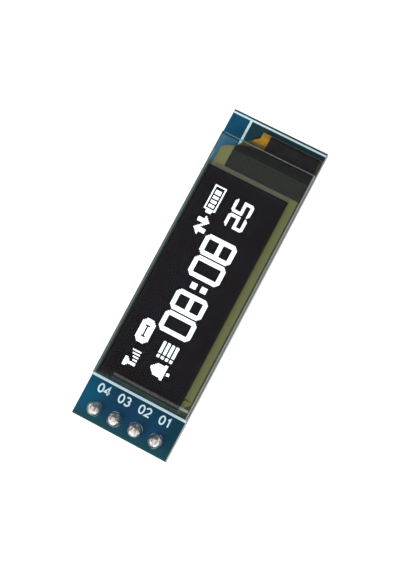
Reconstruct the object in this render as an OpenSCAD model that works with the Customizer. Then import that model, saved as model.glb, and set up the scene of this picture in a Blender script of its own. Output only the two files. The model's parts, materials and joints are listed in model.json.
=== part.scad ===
// Small display module: a glass display panel taped to the front of a circuit board, with its flex tail
// folded back under the glass, a straight pin header at one end, and surface-mount parts on the back.
// +X runs from the header to the far end, +Z points out of the display. The origin is the middle of the
// pin row, on the face of the header strip that seats on the board or socket below.

/* [Display panel] */
// Length of the panel's front glass
panel_l = 30.3; // [26:0.1:40]
// Width of the panel's front glass
panel_w = 11.5; // [11:0.1:18]
// Thickness of the front glass, which carries the display
front_glass_t = 0.55; // [0.4:0.05:1.1]
// Thickness of the glass cap behind it
cap_t = 0.65; // [0.5:0.05:1.2]
// Thickness of the polariser film
polariser_t = 0.2; // [0.1:0.05:0.4]
// Thickness of the seal between the two glasses
seal_t = 0.05; // [0.03:0.01:0.1]
// Width of the seal around the cap's hollow
seal_w = 0.75; // [0.4:0.05:1.5]
// How far the cap's edge stands back from the front glass
cap_inset = 0.15; // [0:0.05:0.5]
// Depth of the hollow etched into the cap
hollow_depth = 0.35; // [0.2:0.05:0.4]
// Corner radius of the hollow
hollow_r = 0.6; // [0.2:0.1:1.5]
// Length of the glass ledge that the cap leaves bare
ledge_l = 3.4; // [3.2:0.1:5]
// Polariser margin at the header end and along the first side
polariser_margin = 0.48; // [0.3:0.02:1.2]
// Glass left bare beside the polariser along the second side
polariser_side_gap = 1.25; // [0.9:0.05:2]
// Distance of the polariser from the bare ledge
polariser_ledge_gap = 0.65; // [0.6:0.05:1.5]
// Thickness of the metal and organic films on the glass
film_t = 0.02; // [0.01:0.01:0.02]
// Distance of the film's edge outside the polariser
film_reach = 0.12; // [0.05:0.01:0.25]
// Width of the metal tracks beside the polariser, on the second side
tracks_w = 0.89; // [0.5:0.01:1]
// Width of the metal line across the header end
near_line_w = 0.3; // [0.1:0.05:0.5]
// Distance of that line's end from the first side
near_line_start = 2.05; // [1:0.05:5]
// Length of the corner patch of tracks, on the ledge
corner_l = 1.75; // [0.8:0.05:2]

/* [Driver chip] */
// Length of the driver chip, across the panel
chip_l = 6.76; // [4:0.02:7.4]
// Width of the driver chip
chip_w = 0.86; // [0.6:0.02:1.1]
// Thickness of the driver chip
chip_t = 0.3; // [0.2:0.05:0.35]
// Thickness of the black coating over the chip
coating_t = 0.38; // [0.36:0.01:0.5]
// Glass left bare beside the coating along the first side
coating_start = 2; // [1.9:0.05:2.1]

/* [Flex tail] */
// Thickness of the flex circuit
flex_t = 0.1; // [0.06:0.01:0.14]
// Thickness of the black cover film on its outer face
cover_t = 0.04; // [0.02:0.01:0.06]
// How far the folded tail stands out past the glass
flex_reach = 2.1; // [1.4:0.05:3]
// Width of the tail at the fold
flex_w = 7.3; // [7:0.01:8]
// Extra width of the bonded end on the first side
shoulder_w = 1.9; // [0.4:0.01:2]
// Width of the bond between flex and glass
bond_l = 1.2; // [0.8:0.1:1.4]
// Distance of the tail from the panel's second side
flex_side_gap = 0.1; // [0.1:0.05:1]
// Strip of bare flex beside the cover film at the fold
bare_w = 1; // [0.5:0.01:1.4]
// The same on the second side
bare_end_w = 0.25; // [0.05:0.05:0.4]
// Pitch of the tail's contacts
contact_pitch = 0.5; // [0.4:0.01:0.5]
// Width of one contact
contact_w = 0.3; // [0.2:0.01:0.35]
// Length of one contact
contact_l = 1.2; // [0.8:0.1:1.6]
// Thickness of one contact
contact_t = 0.02; // [0.01:0.01:0.04]
// Thickness of the solder under one contact
contact_solder_t = 0.04; // [0.03:0.01:0.06]

/* [Circuit board] */
// Thickness of the circuit board
board_t = 1.2; // [0.8:0.1:2]
// Board left bare in front of the panel, at the header end
near_margin = 5; // [4.8:0.1:8]
// Board left bare past the panel, at the tail end
far_margin = 3.2; // [2.6:0.1:6]
// Board width to spare around the panel
side_margin = 0.1; // [0:0.05:2]
// How far the panel sits off the board's middle, towards its second side
panel_shift = 0.1; // [0:0.05:0.1]
// Thickness of the double-sided tape under the panel
tape_t = 0.3; // [0.2:0.05:0.6]
// Distance of the tape's edge from the cap's edge
tape_inset = 0.9; // [0.3:0.1:2]

/* [Pin header] */
// Distance between neighbouring pins
pin_pitch = 2.54; // [2:0.01:2.6]
// Side of the square pins
pin_side = 0.64; // [0.5:0.02:0.66]
// Pin length below the strip
pin_below = 6; // [3:0.5:12]
// Pin length above the circuit board
pin_above = 1.45; // [1:0.05:2]
// Length of a pin's tapered ends
pin_taper = 0.35; // [0.1:0.05:0.8]
// Distance of the pin row from the board's near end
pin_inset = 1.5; // [1.3:0.05:2]
// Height of the plastic strip
strip_h = 2.54; // [1.5:0.02:3]
// Width of the plastic strip
strip_w = 2.5; // [2:0.1:2.6]
// Size of the strip's notches between pins
strip_notch = 0.45; // [0.2:0.05:0.6]
// Clearance between a pin's corners and the plated hole, across the hole
hole_clearance = 0.1; // [0.04:0.02:0.3]
// Thickness of the holes' plating and pads
plating_t = 0.05; // [0.03:0.01:0.07]
// Width of the pad around a drilled hole
pad_ring = 0.3; // [0.2:0.02:0.4]
// Height of the solder on a pin
solder_h = 1.2; // [0.6:0.05:1.2]
// Radius of the solder's hollow flank
solder_flank_r = 1.6; // [1:0.1:4]

/* [Parts on the back] */
// Length of a capacitor
capacitor_l = 1.6; // [1:0.1:2]
// Width and height of a capacitor
capacitor_w = 0.8; // [0.5:0.05:1.1]
// Length of a resistor
resistor_l = 1.6; // [1:0.1:2]
// Width of a resistor
resistor_w = 0.8; // [0.5:0.05:1]
// Height of a resistor
resistor_h = 0.45; // [0.3:0.05:0.6]
// Length of the metal ends of a capacitor or resistor
end_l = 0.32; // [0.2:0.02:0.4]
// Thickness of that metal
end_t = 0.03; // [0.02:0.01:0.05]
// Length of the regulator's body
regulator_l = 2.9; // [2.4:0.1:3.4]
// Width of the regulator's body
regulator_w = 1.3; // [1:0.1:1.7]
// Height of the regulator's top above the board
regulator_h = 1.05; // [0.9:0.05:1.3]
// Gap between the regulator's body and the board
regulator_gap = 0.08; // [0.04:0.02:0.14]
// Width of a regulator lead
lead_w = 0.42; // [0.3:0.02:0.5]
// Thickness of a regulator lead
lead_t = 0.14; // [0.1:0.02:0.18]
// Distance between the two regulator leads of one side
lead_pitch = 1.9; // [1.6:0.1:2.2]
// How far a regulator lead stands out from the body
lead_reach = 0.55; // [0.5:0.05:0.8]
// Height of the solder at the parts' ends
fillet_h = 0.3; // [0.15:0.05:0.4]

/* [Hidden] */
$fn = 48;
cut = 0.5;

// Heights, from the strip's seating face up
board_bottom = strip_h;
board_top = board_bottom + board_t;
cap_bottom = board_top + tape_t;
cap_top = cap_bottom + cap_t;
glass_bottom = cap_top + seal_t;
glass_top = glass_bottom + front_glass_t;
film_bottom = glass_bottom - film_t;

// The board in plan
board_l = near_margin + panel_l + far_margin;
board_w = panel_w + 2 * side_margin;
board_x = -pin_inset;

// The panel in plan: its corner at the header end, on the first side
panel_x = board_x + near_margin;
panel_y = panel_w / 2 - panel_shift;
cap_end = panel_l - ledge_l;
polariser_l = cap_end - polariser_margin - polariser_ledge_gap;
polariser_w = panel_w - polariser_margin - polariser_side_gap;
film_l = polariser_l + 2 * film_reach;
film_x = polariser_margin - film_reach;
film_w = polariser_w + film_reach;
film_end = film_x + film_l;
film_side = film_x + film_w;

// Metal tracks that show beside and past the polariser: first the line across the header end, which the
// film makes room for, then the wide tracks on the second side, the strip at the ledge and the corner patch
track_gap = 0.01;
near_line_x = polariser_margin + 0.26;
near_line_end = near_line_x + near_line_w;
tracks_start = near_line_end + track_gap;
tracks_chamfer = 0.6;
tracks_side = film_side + track_gap;
tracks_end = tracks_side + tracks_w;
slot_x = tracks_start + 0.85;
slot_w = 0.12;
end_tracks_x = film_end + track_gap;
end_tracks_end = cap_end - track_gap;
end_tracks_start = film_x + 0.24;
corner_x = end_tracks_end + track_gap;
corner_w = 1.35;
corner_slant = [0.45, 0.8];
corner_bend = 0.45;

// Black coating over the chip, on the ledge
coating_x = cap_end + 0.02;
coating_far = panel_l - 0.15;
coating_end = panel_w - flex_side_gap - 0.02;
coating_chamfer = 0.3;
coating_slope = [0.8, 0.45];
coating_corner = [0.3, 1.3];
chip_x = coating_x + 0.6;
chip_y = (coating_start + coating_end - chip_l) / 2;

// Flex tail: it leaves the ledge, folds round and comes back to the board
bond_x = panel_l - bond_l;
flex_end_y = panel_w - flex_side_gap;
flex_start_y = flex_end_y - flex_w;
shoulder_y = flex_start_y - shoulder_w;
foot_t = contact_t + contact_solder_t;
fold_r = (glass_bottom - cover_t - board_top - foot_t) / 2;
fold_z = board_top + foot_t + fold_r;
fold_x = panel_l + flex_reach - fold_r - cover_t;
fold_out = panel_l + flex_reach + cut;
tail_end_x = panel_l - 2;
shoulder_in = panel_l - 0.45;
shoulder_x = panel_l + 1.2;
cover_start_y = flex_start_y + bare_w;
cover_end_y = flex_end_y - bare_end_w;
cover_in = [bond_x + 0.4, panel_l - 0.25];
cover_step = 1;
cover_lower_x = tail_end_x + contact_l + 0.7;
contact_count = 14;
contact_toe = 0.1;
contact_row_w = (contact_count - 1) * contact_pitch;
contact_y = (flex_start_y + flex_end_y - contact_row_w) / 2;

// Pin header
pin_count = 4;
hole_d = pin_side * sqrt(2) + hole_clearance;
drill_d = hole_d + 2 * plating_t;
pad_d = drill_d + 2 * pad_ring;
pin_top = board_top + pin_above;
solder_top_r = pin_side * 0.72;
solder_rim = 0.08;

// The sheet in the cap's hollow
desiccant_gap = 0.6;

// Where the parts sit on the back: x, y and turn
capacitor_places = [[7.2, -3.1, 0], [10.9, 3.6, 90], [13.3, 3.6, 90], [20.2, 2.2, 0], [20.2, -2.4, 0]];
resistor_places = [[11, -1.4, 90], [12.8, -1.4, 90], [16.6, 3.4, 0], [16.6, 1.6, 0]];
regulator_place = [7.2, 1.7, 90];
part_r = 0.06;

// How the regulator's body tapers, and where its leads bend
regulator_taper = 0.12;
lead_root = 0.2;
lead_knee = 0.18;
lead_lean = 0.02;

// A point of the panel, from its corner: along it, and across it towards the second side
function panel_point(along, across) = [panel_x + along, panel_y - across];

// The y of pin n: pin 1 is on the second side
function pin_y(n) = (n - (pin_count + 1) / 2) * pin_pitch;

// The centre of an arc of radius r through a and b, on the left of the line from a to b
function arc_centre(a, b, r) =
    let (m = (a + b) / 2, d = b - a, h = sqrt(r * r - (d * d) / 4))
    m + h * [-d[1], d[0]] / norm(d);

// A flat plate on the panel between two distances along it and two across it
module panel_plate(along, across, bottom, thickness) {
    translate([panel_x + along[0], panel_y - across[1], bottom])
        cube([along[1] - along[0], across[1] - across[0], thickness]);
}

// A flat shape on the panel, from its corner points
module panel_shape(points, bottom, thickness) {
    translate([0, 0, bottom])
        linear_extrude(height = thickness)
            polygon([for (p = points) panel_point(p[0], p[1])]);
}

module rounded_plate(along, across, r, bottom, thickness) {
    corner = panel_point(along[0], across[1]);
    size = [along[1] - along[0], across[1] - across[0]];
    translate([corner[0], corner[1], bottom])
        linear_extrude(height = thickness) {
            translate([r, 0])
                square([size[0] - 2 * r, size[1]]);
            translate([0, r])
                square([size[0], size[1] - 2 * r]);
            for (x = [r, size[0] - r], y = [r, size[1] - r])
                translate([x, y])
                    circle(r);
        }
}

// ---- Circuit board and header ----

module circuit_board() {
    color("royalblue")
        difference() {
            translate([board_x, -board_w / 2, board_bottom])
                cube([board_l, board_w, board_t]);
            for (n = [1:pin_count])
                translate([0, pin_y(n), 0]) {
                    translate([0, 0, board_bottom - cut])
                        cylinder(h = board_t + 2 * cut, d = drill_d);
                    translate([0, 0, board_top - plating_t])
                        cylinder(h = cut, d = pad_d);
                    translate([0, 0, board_bottom - cut])
                        cylinder(h = cut + plating_t, d = pad_d);
                }
        }
}

// The metal lining of one drilled hole, with its pad on each face
module plated_hole(n) {
    color("silver")
        translate([0, pin_y(n), board_bottom])
            difference() {
                union() {
                    cylinder(h = board_t, d = drill_d);
                    cylinder(h = plating_t, d = pad_d);
                    translate([0, 0, board_t - plating_t])
                        cylinder(h = plating_t, d = pad_d);
                }
                translate([0, 0, -cut])
                    cylinder(h = board_t + 2 * cut, d = hole_d);
            }
}

// One pin's share of the strip in plan, with its corners cut off
module strip_cell() {
    x = strip_w / 2;
    y = pin_pitch / 2;
    c = strip_notch;
    polygon([[-x, -y + c], [-x + c, -y], [x - c, -y], [x, -y + c],
        [x, y - c], [x - c, y], [-x + c, y], [-x, y - c]]);
}

module header_strip() {
    color("black")
        linear_extrude(height = strip_h)
            difference() {
                for (n = [1:pin_count])
                    translate([0, pin_y(n)])
                        strip_cell();
                for (n = [1:pin_count])
                    translate([0, pin_y(n)])
                        square(pin_side, center = true);
            }
}

// A pin seen from the side, with both ends tapered
module pin_profile() {
    a = pin_side / 2;
    tip = a / 2;
    polygon([[-tip, -pin_below], [tip, -pin_below], [a, -pin_below + pin_taper], [a, pin_top - pin_taper],
        [tip, pin_top], [-tip, pin_top], [-a, pin_top - pin_taper], [-a, -pin_below + pin_taper]]);
}

module header_pin(n) {
    color("gold")
        translate([0, pin_y(n), 0])
            intersection() {
                rotate([90, 0, 0])
                    linear_extrude(height = pin_side, center = true)
                        pin_profile();
                rotate([90, 0, 90])
                    linear_extrude(height = pin_side, center = true)
                        pin_profile();
            }
}

// Solder on one pin: a hollow-sided cone on the pad, and the fill of the hole
module solder_joint(n) {
    base = [pad_d / 2, solder_rim];
    top = [solder_top_r, solder_h];
    color("lightgray")
        translate([0, pin_y(n), board_top])
            difference() {
                union() {
                    rotate_extrude()
                        difference() {
                            polygon([[0, 0], [base[0], 0], base, [base[0], top[1]], top, [0, top[1]]]);
                            translate(arc_centre(top, base, solder_flank_r))
                                circle(solder_flank_r, $fn = 96);
                        }
                    translate([0, 0, -board_t])
                        cylinder(h = board_t, d = hole_d);
                }
                translate([-pin_side / 2, -pin_side / 2, -board_t - cut])
                    cube([pin_side, pin_side, board_t + solder_h + 2 * cut]);
            }
}

// ---- Display panel ----

module front_glass() {
    color("lightcyan")
        panel_plate([0, panel_l], [0, panel_w], glass_bottom, front_glass_t);
}

module polariser() {
    color("#221c24")
        rounded_plate([polariser_margin, polariser_margin + polariser_l],
            [polariser_margin, polariser_margin + polariser_w], 0.1, glass_top, polariser_t);
}

module cap_outline(bottom, thickness) {
    panel_plate([cap_inset, cap_end], [cap_inset, panel_w - cap_inset], bottom, thickness);
}

module hollow_outline(bottom, thickness) {
    edge = cap_inset + seal_w;
    rounded_plate([edge, cap_end - seal_w], [edge, panel_w - edge], hollow_r, bottom, thickness);
}

module cap_glass() {
    color("gainsboro")
        difference() {
            cap_outline(cap_bottom, cap_t);
            hollow_outline(cap_top - hollow_depth, hollow_depth + cut);
        }
}

module seal_frame() {
    color("khaki")
        difference() {
            cap_outline(cap_top, seal_t);
            hollow_outline(cap_top - cut, seal_t + 2 * cut);
            emissive_film();
            side_tracks();
            end_tracks();
            corner_tracks();
        }
}

module desiccant_sheet() {
    edge = cap_inset + seal_w + desiccant_gap;
    color("white")
        rounded_plate([edge, cap_end - seal_w - desiccant_gap], [edge, panel_w - edge], hollow_r,
            cap_top - hollow_depth, hollow_depth / 2);
}

module emissive_film() {
    color("midnightblue")
        panel_shape([[film_x, film_x], [film_end, film_x], [film_end, film_side], [tracks_start, film_side],
            [tracks_start, near_line_start - track_gap], [film_x, near_line_start - track_gap]],
            film_bottom, film_t);
}

// The wide tracks, split near their start, and the line that meets them there
module side_tracks() {
    a = tracks_side;
    b = tracks_end;
    c = tracks_chamfer;
    color("darkkhaki") {
        difference() {
            panel_shape([[tracks_start, a], [end_tracks_end, a], [end_tracks_end, b], [tracks_start + c, b],
                [tracks_start, b - c]], film_bottom, film_t);
            panel_plate([slot_x, slot_x + slot_w], [a - cut, b - slot_w], film_bottom - cut, 2 * cut);
        }
        panel_plate([near_line_x, near_line_end], [near_line_start, b + slot_w], film_bottom, film_t);
    }
}

module end_tracks() {
    color("tan")
        panel_plate([end_tracks_x, end_tracks_end], [end_tracks_start, film_side], film_bottom, film_t);
}

module corner_tracks() {
    a = corner_x;
    b = corner_x + corner_l;
    near = end_tracks_start;
    color("darkkhaki")
        panel_shape([[a, near], [b, near], [b + corner_slant[0], near + corner_bend],
            [b + corner_slant[1], near + corner_w], [a, near + corner_w]], film_bottom, film_t);
}

module driver_chip() {
    color("dimgray")
        panel_plate([chip_x, chip_x + chip_w], [chip_y, chip_y + chip_l], glass_bottom - chip_t, chip_t);
}

// Coating over the chip and the flex bond, with its slanted corner on the first side
module chip_coating() {
    a = coating_x;
    b = coating_far;
    c = coating_chamfer;
    color("#1c1c1a")
        difference() {
            panel_shape([[a, coating_start + c], [a + c, coating_start], [b - coating_slope[0], coating_start],
                [b - coating_corner[0], coating_start + coating_slope[1]], [b, coating_start + coating_corner[1]],
                [b, coating_end], [a, coating_end]],
                glass_bottom - coating_t, coating_t);
            driver_chip();
            flex_tail();
            flex_cover();
        }
}

module panel_tape() {
    edge = cap_inset + tape_inset;
    color("whitesmoke")
        panel_plate([edge, cap_end - tape_inset], [edge, panel_w - edge], board_top, tape_t);
}

// ---- Flex tail ----

// A folded strip seen from the side, centred on the fold: two straight runs and half a ring
module fold_profile(r_out, thickness, upper_start, lower_start) {
    r_in = r_out - thickness;
    intersection() {
        difference() {
            circle(r_out);
            circle(r_in);
        }
        translate([0, -r_out])
            square([r_out, 2 * r_out]);
    }
    translate([upper_start - fold_x, r_in])
        square([fold_x - upper_start, thickness]);
    translate([lower_start - fold_x, -r_out])
        square([fold_x - lower_start, thickness]);
}

// The folded strip cut to one outline above the fold's middle and to another below it
module folded_strip(r_out, thickness, upper_start, lower_start, upper, lower) {
    intersection() {
        translate([panel_x + fold_x, panel_y, fold_z])
            rotate([90, 0, 0])
                linear_extrude(height = panel_w)
                    fold_profile(r_out, thickness, upper_start, lower_start);
        union() {
            panel_shape(upper, fold_z, r_out + cut);
            panel_shape(lower, fold_z - r_out - cut, r_out + cut);
        }
    }
}

module flex_tail() {
    color("darkorange")
        folded_strip(fold_r, flex_t, bond_x, tail_end_x,
            [[bond_x, shoulder_y], [shoulder_in, shoulder_y], [shoulder_x, flex_start_y],
                [fold_out, flex_start_y], [fold_out, flex_end_y], [bond_x, flex_end_y]],
            [[tail_end_x, flex_start_y], [fold_out, flex_start_y], [fold_out, flex_end_y],
                [tail_end_x, flex_end_y]]);
}

module flex_cover() {
    color("#161416")
        folded_strip(fold_r + cover_t, cover_t, bond_x, cover_lower_x,
            [[bond_x, shoulder_y], [cover_in[0], shoulder_y], [cover_in[1], shoulder_y + cover_step],
                [panel_l, cover_start_y], [fold_out, cover_start_y], [fold_out, cover_end_y],
                [bond_x, cover_end_y]],
            [[cover_lower_x, cover_start_y], [fold_out, cover_start_y], [fold_out, cover_end_y],
                [cover_lower_x, cover_end_y]]);
}

module contact_row(length, bottom, thickness) {
    for (i = [0:contact_count - 1]) {
        y = contact_y + i * contact_pitch;
        panel_plate([tail_end_x, tail_end_x + length], [y - contact_w / 2, y + contact_w / 2],
            bottom, thickness);
    }
}

module flex_contacts() {
    color("gold")
        contact_row(contact_l, board_top + contact_solder_t, contact_t);
}

module flex_solder() {
    color("lightgray")
        contact_row(contact_l + contact_toe, board_top, contact_solder_t);
}

// ---- Parts on the back ----

// Places a part on the board's back, its top pointing away from the board
module on_back(place) {
    translate([place[0], place[1], board_bottom])
        rotate([0, 0, place[2]])
            mirror([0, 0, 1])
                children();
}

module rounded_block(l, w, h, r) {
    translate([-l / 2, 0, 0])
        rotate([90, 0, 90])
            linear_extrude(height = l) {
                translate([-w / 2 + r, 0])
                    square([w - 2 * r, h]);
                translate([-w / 2, r])
                    square([w, h - 2 * r]);
                for (y = [-w / 2 + r, w / 2 - r], z = [r, h - r])
                    translate([y, z])
                        circle(r);
            }
}

// The ceramic body of a capacitor or resistor, which its metal ends wrap
module part_core(l, w, h) {
    translate([0, 0, end_t])
        rounded_block(l - 2 * end_t, w - 2 * end_t, h - 2 * end_t, part_r - end_t);
}

module part_ends(l, w, h) {
    difference() {
        rounded_block(l, w, h, part_r);
        part_core(l, w, h);
        translate([-l / 2 + end_l, -w, -cut])
            cube([l - 2 * end_l, 2 * w, h + 2 * cut]);
    }
}

module capacitor(n) {
    color("peru")
        on_back(capacitor_places[n - 1])
            part_core(capacitor_l, capacitor_w, capacitor_w);
}

module capacitor_ends(n) {
    color("silver")
        on_back(capacitor_places[n - 1])
            part_ends(capacitor_l, capacitor_w, capacitor_w);
}

module resistor(n) {
    color("black")
        on_back(resistor_places[n - 1])
            part_core(resistor_l, resistor_w, resistor_h);
}

module resistor_ends(n) {
    color("silver")
        on_back(resistor_places[n - 1])
            part_ends(resistor_l, resistor_w, resistor_h);
}

// A moulded body seen from one side, widest at the height where the leads leave it
module moulded_profile(w) {
    top = w / 2 - regulator_taper;
    middle = regulator_h / 2;
    polygon([[-top, regulator_gap], [top, regulator_gap], [w / 2, middle],
        [top, regulator_h], [-top, regulator_h], [-w / 2, middle]]);
}

module regulator_body() {
    color("#202020")
        on_back(regulator_place)
            difference() {
                intersection() {
                    rotate([90, 0, 0])
                        linear_extrude(height = regulator_w, center = true)
                            moulded_profile(regulator_l);
                    rotate([90, 0, 90])
                        linear_extrude(height = regulator_l, center = true)
                            moulded_profile(regulator_w);
                }
                regulator_lead_set();
            }
}

// One bent lead: out of the body, down to the board and out again as a foot
module gull_lead() {
    inside = regulator_w / 2 - lead_root;
    knee = regulator_w / 2 + lead_knee;
    foot = knee - lead_lean;
    out = regulator_w / 2 + lead_reach;
    middle = regulator_h / 2;
    translate([-lead_w / 2, 0, 0])
        rotate([90, 0, 90])
            linear_extrude(height = lead_w)
                polygon([[inside, middle - lead_t / 2], [knee - lead_t, middle - lead_t / 2],
                    [foot, 0], [out, 0], [out, lead_t], [foot + lead_t, lead_t],
                    [knee, middle + lead_t / 2], [inside, middle + lead_t / 2]]);
}

module regulator_lead_set() {
    for (x = [-lead_pitch / 2, lead_pitch / 2])
        translate([x, 0, 0])
            gull_lead();
    rotate([0, 0, 180])
        gull_lead();
}

module regulator_leads() {
    color("silver")
        on_back(regulator_place)
            regulator_lead_set();
}

// A wedge of solder with a hollow face, against the end of a part at x = 0
module fillet(w, h) {
    rotate([90, 0, 0])
        linear_extrude(height = w, center = true)
            difference() {
                square([h, h]);
                translate([h, h])
                    circle(h - end_t);
            }
}

module end_fillets(l, w) {
    for (side = [0, 180])
        rotate([0, 0, side])
            translate([l / 2, 0, 0])
                fillet(w - 2 * part_r, fillet_h);
}

module parts_solder() {
    reach = regulator_w / 2 + lead_reach;
    color("lightgray") {
        for (place = capacitor_places)
            on_back(place)
                end_fillets(capacitor_l, capacitor_w);
        for (place = resistor_places)
            on_back(place)
                end_fillets(resistor_l, resistor_w);
        on_back(regulator_place) {
            for (x = [-lead_pitch / 2, lead_pitch / 2])
                translate([x, reach, 0])
                    rotate([0, 0, 90])
                        fillet(lead_w, lead_t);
            translate([0, -reach, 0])
                rotate([0, 0, -90])
                    fillet(lead_w, lead_t);
        }
    }
}

circuit_board();
plated_hole(1);  // plated_hole_1
plated_hole(2);  // plated_hole_2
plated_hole(3);  // plated_hole_3
plated_hole(4);  // plated_hole_4
header_strip();
header_pin(1);  // header_pin_1
header_pin(2);  // header_pin_2
header_pin(3);  // header_pin_3
header_pin(4);  // header_pin_4
solder_joint(1);  // solder_joint_1
solder_joint(2);  // solder_joint_2
solder_joint(3);  // solder_joint_3
solder_joint(4);  // solder_joint_4
front_glass();
polariser();
cap_glass();
seal_frame();
desiccant_sheet();
emissive_film();
side_tracks();
end_tracks();
corner_tracks();
driver_chip();
chip_coating();
panel_tape();
flex_tail();
flex_cover();
flex_contacts();
flex_solder();
capacitor(1);  // capacitor_1
capacitor(2);  // capacitor_2
capacitor(3);  // capacitor_3
capacitor(4);  // capacitor_4
capacitor(5);  // capacitor_5
capacitor_ends(1);  // capacitor_ends_1
capacitor_ends(2);  // capacitor_ends_2
capacitor_ends(3);  // capacitor_ends_3
capacitor_ends(4);  // capacitor_ends_4
capacitor_ends(5);  // capacitor_ends_5
resistor(1);  // resistor_1
resistor(2);  // resistor_2
resistor(3);  // resistor_3
resistor(4);  // resistor_4
resistor_ends(1);  // resistor_ends_1
resistor_ends(2);  // resistor_ends_2
resistor_ends(3);  // resistor_ends_3
resistor_ends(4);  // resistor_ends_4
regulator_body();
regulator_leads();
parts_solder();
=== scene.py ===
"""Looks of the small display module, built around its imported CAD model.

Lengths are in metres, and MM is one millimetre.
"""

import json
import math
import random

import bmesh
import bpy
from mathutils import Matrix, Vector, noise


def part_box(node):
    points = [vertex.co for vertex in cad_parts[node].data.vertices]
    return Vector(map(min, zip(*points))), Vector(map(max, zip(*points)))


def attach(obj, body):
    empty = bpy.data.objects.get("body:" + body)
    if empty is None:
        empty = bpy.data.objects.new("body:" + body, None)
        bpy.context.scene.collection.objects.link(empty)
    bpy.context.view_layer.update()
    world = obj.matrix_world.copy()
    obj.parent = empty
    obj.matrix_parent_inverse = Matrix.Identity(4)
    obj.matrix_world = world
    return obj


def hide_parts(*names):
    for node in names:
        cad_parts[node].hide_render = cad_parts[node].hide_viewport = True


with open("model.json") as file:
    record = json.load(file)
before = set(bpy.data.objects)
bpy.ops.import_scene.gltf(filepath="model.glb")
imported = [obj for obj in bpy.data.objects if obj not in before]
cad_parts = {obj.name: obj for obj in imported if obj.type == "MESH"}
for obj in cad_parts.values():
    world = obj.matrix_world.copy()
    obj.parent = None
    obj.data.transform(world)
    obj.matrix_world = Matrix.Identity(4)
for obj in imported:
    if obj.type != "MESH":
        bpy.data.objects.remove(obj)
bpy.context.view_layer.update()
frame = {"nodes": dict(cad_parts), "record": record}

MM = 0.001
NODES = frame["nodes"]


# ---------------------------------------------------------------- places read from the frame

BOARD_LOW, BOARD_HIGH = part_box("circuit_board")
GLASS_LOW, GLASS_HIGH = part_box("front_glass")
FILM_LOW, FILM_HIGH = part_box("emissive_film")
CAP_LOW, CAP_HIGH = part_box("cap_glass")
COATING_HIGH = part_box("chip_coating")[1]
FLEX_LOW, FLEX_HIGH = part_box("flex_tail")
COVER_LOW, COVER_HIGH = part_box("flex_cover")
POLARISER_LOW, POLARISER_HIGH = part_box("polariser")
PIN_COUNT = sum(name.startswith("header_pin_") for name in NODES)
FLOOR_Z = min(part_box(f"header_pin_{n}")[0].z for n in range(1, PIN_COUNT + 1))

# The display's grid of pixels
COLUMNS = 128
ACTIVE_LENGTH = 22.45 * MM
PIXEL_PITCH = ACTIVE_LENGTH / COLUMNS
ACTIVE_INSET = 1.83 * MM      # from the film's end to the first column
ACTIVE_TOP = 1.77 * MM        # from the film's side to the first row
PIXEL_FILL = 0.94             # share of the pitch that a pixel fills
PIXEL_LIFT = 0.004 * MM       # gap between the film and a lit pixel
PIXEL_THICK = 0.006 * MM

CONTACT_PITCH = 0.5 * MM      # of the copper lines in the flex tail
TOP_FACING = 0.6              # a sheet's faces point up or down more than this, and its edges less


def centre_of(node):
    low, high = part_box(node)
    return (low + high) / 2


# ---------------------------------------------------------------- materials

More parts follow.
